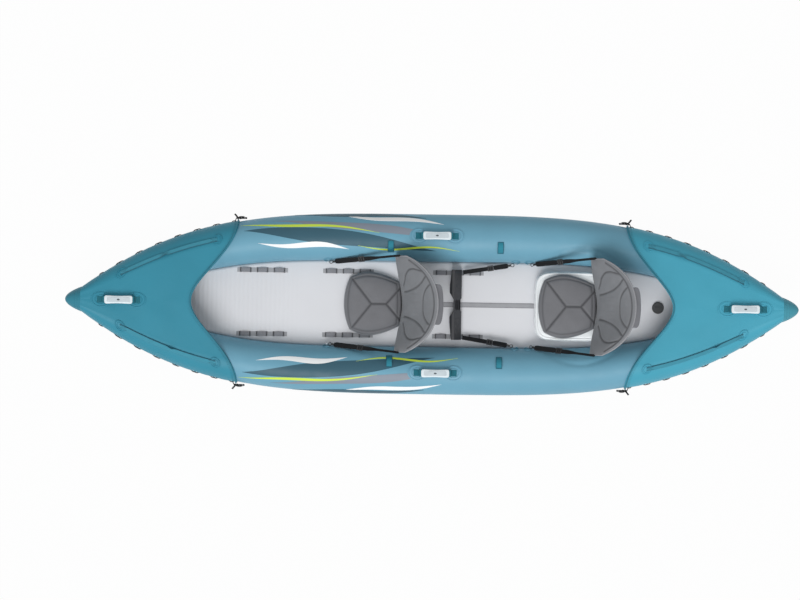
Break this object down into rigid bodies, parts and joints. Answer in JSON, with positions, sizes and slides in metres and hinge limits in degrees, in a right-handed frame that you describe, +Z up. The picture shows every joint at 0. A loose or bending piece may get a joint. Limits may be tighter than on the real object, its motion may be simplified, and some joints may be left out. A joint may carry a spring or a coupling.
{
  "type": "tandem kayak",
  "caption": "Inflatable touring kayak with laced bow and stern covers, padded seats with folding backrests, a sliding footrest, lifting handles and screw valves.",
  "frame": {"origin": "midway between the tips, on the ground under the flat of the keel", "axes": "+X along the keel towards the stern, +Y to starboard, +Z up"},
  "size_m": [4.12, 1.016, 0.5714],
  "materials": {
    "tube_fabric": "satin",
    "floor_fabric": "satin",
    "bottom_fabric": "matte",
    "cover_fabric": "satin",
    "cover_trim": "matte",
    "tip_cap": "satin",
    "lacing_cord": "matte",
    "teal_webbing": "matte",
    "grip": "satin",
    "welded_patch": "satin",
    "grey_webbing": "matte",
    "valve_plastic": "satin",
    "seat_fabric": "matte",
    "bag_fabric": "matte",
    "black_webbing": "matte",
    "booster_fabric": "satin",
    "ring_steel": "satin",
    "hook_plastic": "satin",
    "footrest_plastic": "matte"
  },
  "bodies": {
    "hull": {"anchor_rings": "ring_steel", "booster_cushion": "booster_fabric", "booster_valve": "booster_fabric", "bottom_panel": "bottom_fabric", "bow_cover": "cover_fabric", "bow_cover_piping": "cover_trim", "bow_handle_strap": "teal_webbing", "bow_port_deck_strap": "teal_webbing", "bow_port_lacing": "lacing_cord", "bow_starboard_deck_strap": "teal_webbing", "bow_starboard_lacing": "lacing_cord", "bow_tip_cap": "tip_cap", "fin_socket": "valve_plastic", "floor_centre_strip": "grey_webbing", "floor_chamber": "floor_fabric", "floor_valve_base": "valve_plastic", "footrest_port_strap": "black_webbing", "footrest_starboard_strap": "black_webbing", "front_hinge_flap": "seat_fabric", "front_port_strap": "black_webbing", "front_seat_base": "seat_fabric", "front_starboard_strap": "black_webbing", "gear_loops": "teal_webbing", "port_floor_strips": "grey_webbing", "port_handle_strap": "teal_webbing", "port_side_tube": "tube_fabric", "port_valve_base": "valve_plastic", "rear_hinge_flap": "seat_fabric", "rear_port_strap": "black_webbing", "rear_seat_base": "seat_fabric", "rear_starboard_strap": "black_webbing", "starboard_floor_strips": "grey_webbing", "starboard_handle_strap": "teal_webbing", "starboard_side_tube": "tube_fabric", "starboard_valve_base": "valve_plastic", "stern_cover": "cover_fabric", "stern_cover_piping": "cover_trim", "stern_handle_strap": "teal_webbing", "stern_port_deck_strap": "teal_webbing", "stern_port_lacing": "lacing_cord", "stern_starboard_deck_strap": "teal_webbing", "stern_starboard_lacing": "lacing_cord", "stern_tip_cap": "tip_cap", "strap_hooks": "hook_plastic", "welded_patches": "welded_patch"},
    "front_backrest": {"front_backrest": "seat_fabric", "front_pouch": "bag_fabric"},
    "rear_backrest": {"rear_backrest": "seat_fabric", "rear_pouch": "bag_fabric"},
    "footrest": {"footrest_bar": "footrest_plastic"},
    "bow_handle": {"bow_handle_grip": "grip"},
    "stern_handle": {"stern_handle_grip": "grip"},
    "port_handle": {"port_handle_grip": "grip"},
    "starboard_handle": {"starboard_handle_grip": "grip"},
    "floor_valve_cap": {"floor_valve_cap": "valve_plastic"},
    "floor_valve_stem": {"floor_valve_plunger": "valve_plastic"},
    "port_valve_cap": {"port_valve_cap": "valve_plastic"},
    "port_valve_stem": {"port_valve_plunger": "valve_plastic"},
    "starboard_valve_cap": {"starboard_valve_cap": "valve_plastic"},
    "starboard_valve_stem": {"starboard_valve_plunger": "valve_plastic"}
  },
  "joints": [
    {"name": "front_backrest_recline", "type": "hinge", "parent": "hull", "child": "front_backrest", "pos_m": [-0.163, 0, 0.1669], "axis": [0, 1, 0], "range_deg": [-16, 15], "deforming": ["front_port_strap", "front_starboard_strap", "front_hinge_flap"]},
    {"name": "rear_backrest_recline", "type": "hinge", "parent": "hull", "child": "rear_backrest", "pos_m": [0.931, 0, 0.2329], "axis": [0, 1, 0], "range_deg": [-48, 15], "deforming": ["rear_port_strap", "rear_starboard_strap", "rear_hinge_flap"]},
    {"name": "footrest_slide", "type": "slide", "parent": "hull", "child": "footrest", "axis": [1, 0, 0], "range_m": [-0.12, 0.15], "deforming": ["footrest_port_strap", "footrest_starboard_strap"]},
    {"name": "bow_handle_lift", "type": "slide", "parent": "hull", "child": "bow_handle", "axis": [0.0404, 0, 0.9992], "range_m": [0, 0.025], "deforming": ["bow_handle_strap"]},
    {"name": "stern_handle_lift", "type": "slide", "parent": "hull", "child": "stern_handle", "axis": [-0.0404, 0, 0.9992], "range_m": [0, 0.025], "deforming": ["stern_handle_strap"]},
    {"name": "port_handle_lift", "type": "slide", "parent": "hull", "child": "port_handle", "axis": [0, -0.0698, 0.9976], "range_m": [0, 0.025], "deforming": ["port_handle_strap"]},
    {"name": "starboard_handle_lift", "type": "slide", "parent": "hull", "child": "starboard_handle", "axis": [0, 0.0698, 0.9976], "range_m": [0, 0.025], "deforming": ["starboard_handle_strap"]},
    {"name": "floor_valve_cap_turn", "type": "hinge", "parent": "hull", "child": "floor_valve_cap", "pos_m": [1.278, 0, 0.1246], "axis": [0, 0, 1], "range_deg": [0, 90]},
    {"name": "floor_valve_stem_press", "type": "slide", "parent": "hull", "child": "floor_valve_stem", "axis": [0, 0, -1], "range_m": [0, 0.005], "stiffness_N_per_m": 400},
    {"name": "port_valve_cap_turn", "type": "hinge", "parent": "hull", "child": "port_valve_cap", "pos_m": [1.46968, -0.16103, 0.26774], "axis": [-0.2477, 0.6317, 0.7345], "range_deg": [0, 90]},
    {"name": "port_valve_stem_press", "type": "slide", "parent": "hull", "child": "port_valve_stem", "axis": [0.2477, -0.6317, -0.7345], "range_m": [0, 0.005], "stiffness_N_per_m": 400},
    {"name": "starboard_valve_cap_turn", "type": "hinge", "parent": "hull", "child": "starboard_valve_cap", "pos_m": [1.46968, 0.16103, 0.26774], "axis": [-0.2477, -0.6317, 0.7345], "range_deg": [0, 90]},
    {"name": "starboard_valve_stem_press", "type": "slide", "parent": "hull", "child": "starboard_valve_stem", "axis": [0.2477, 0.6317, -0.7345], "range_m": [0, 0.005], "stiffness_N_per_m": 400}
  ]
}
